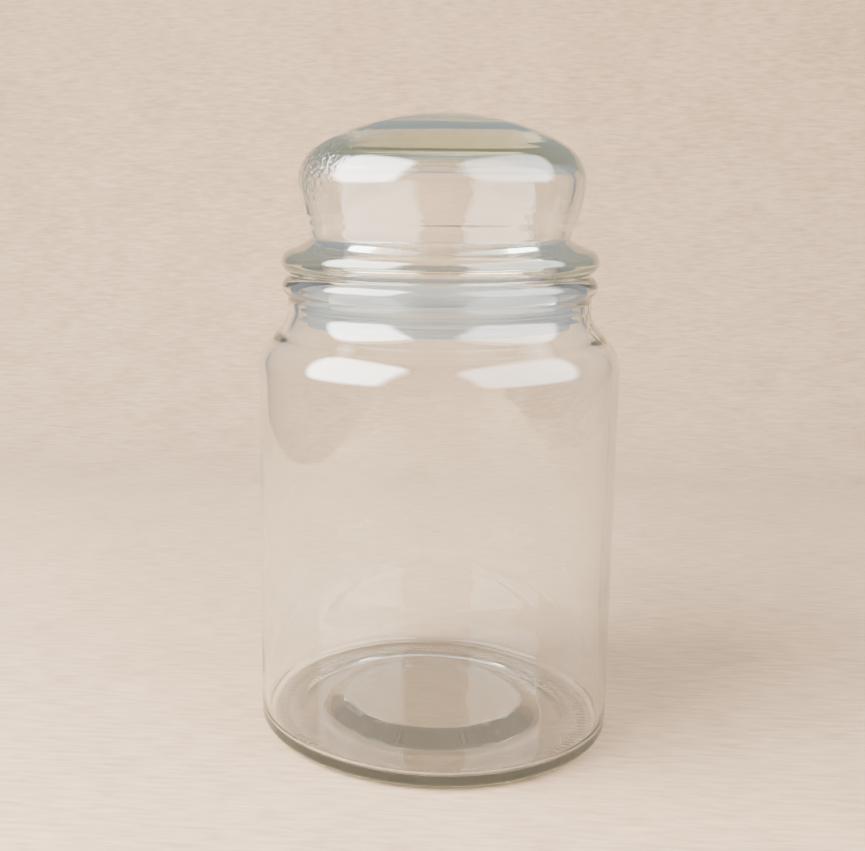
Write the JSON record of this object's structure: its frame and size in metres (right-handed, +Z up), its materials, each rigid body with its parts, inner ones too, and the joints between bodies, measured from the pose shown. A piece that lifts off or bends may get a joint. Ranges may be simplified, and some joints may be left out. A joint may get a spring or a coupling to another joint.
{
  "type": "empty candle jar",
  "caption": "Clear glass candle jar with a hollow domed glass lid that lifts off and a ribbed soft seal ring round the lid's plug.",
  "frame": {"origin": "centre of the base, on the plane the jar stands on", "axes": "+Z up along the jar's axis, through the lid; the jar is round, so +X and +Y are any two level directions"},
  "size_m": [0.1016, 0.1016, 0.1753],
  "materials": {
    "clear_glass": "smooth clear soda-lime glass, faint green at the edges",
    "lid_glass": "smooth clear soda-lime glass, thick crown",
    "soft_seal": "milky translucent soft polyethylene"
  },
  "bodies": {
    "jar": {"jar_body": "clear_glass"},
    "lid": {"lid_glass": "lid_glass"},
    "seal": {"lid_seal": "soft_seal"}
  },
  "joints": [
    {"name": "lid_lift", "type": "slide", "parent": "jar", "child": "lid", "axis": [0, 0, 1], "range_m": [0, 0.06]},
    {"name": "seal_slip", "type": "slide", "parent": "lid", "child": "seal", "axis": [0, 0, -1], "range_m": [0, 0.02]}
  ]
}
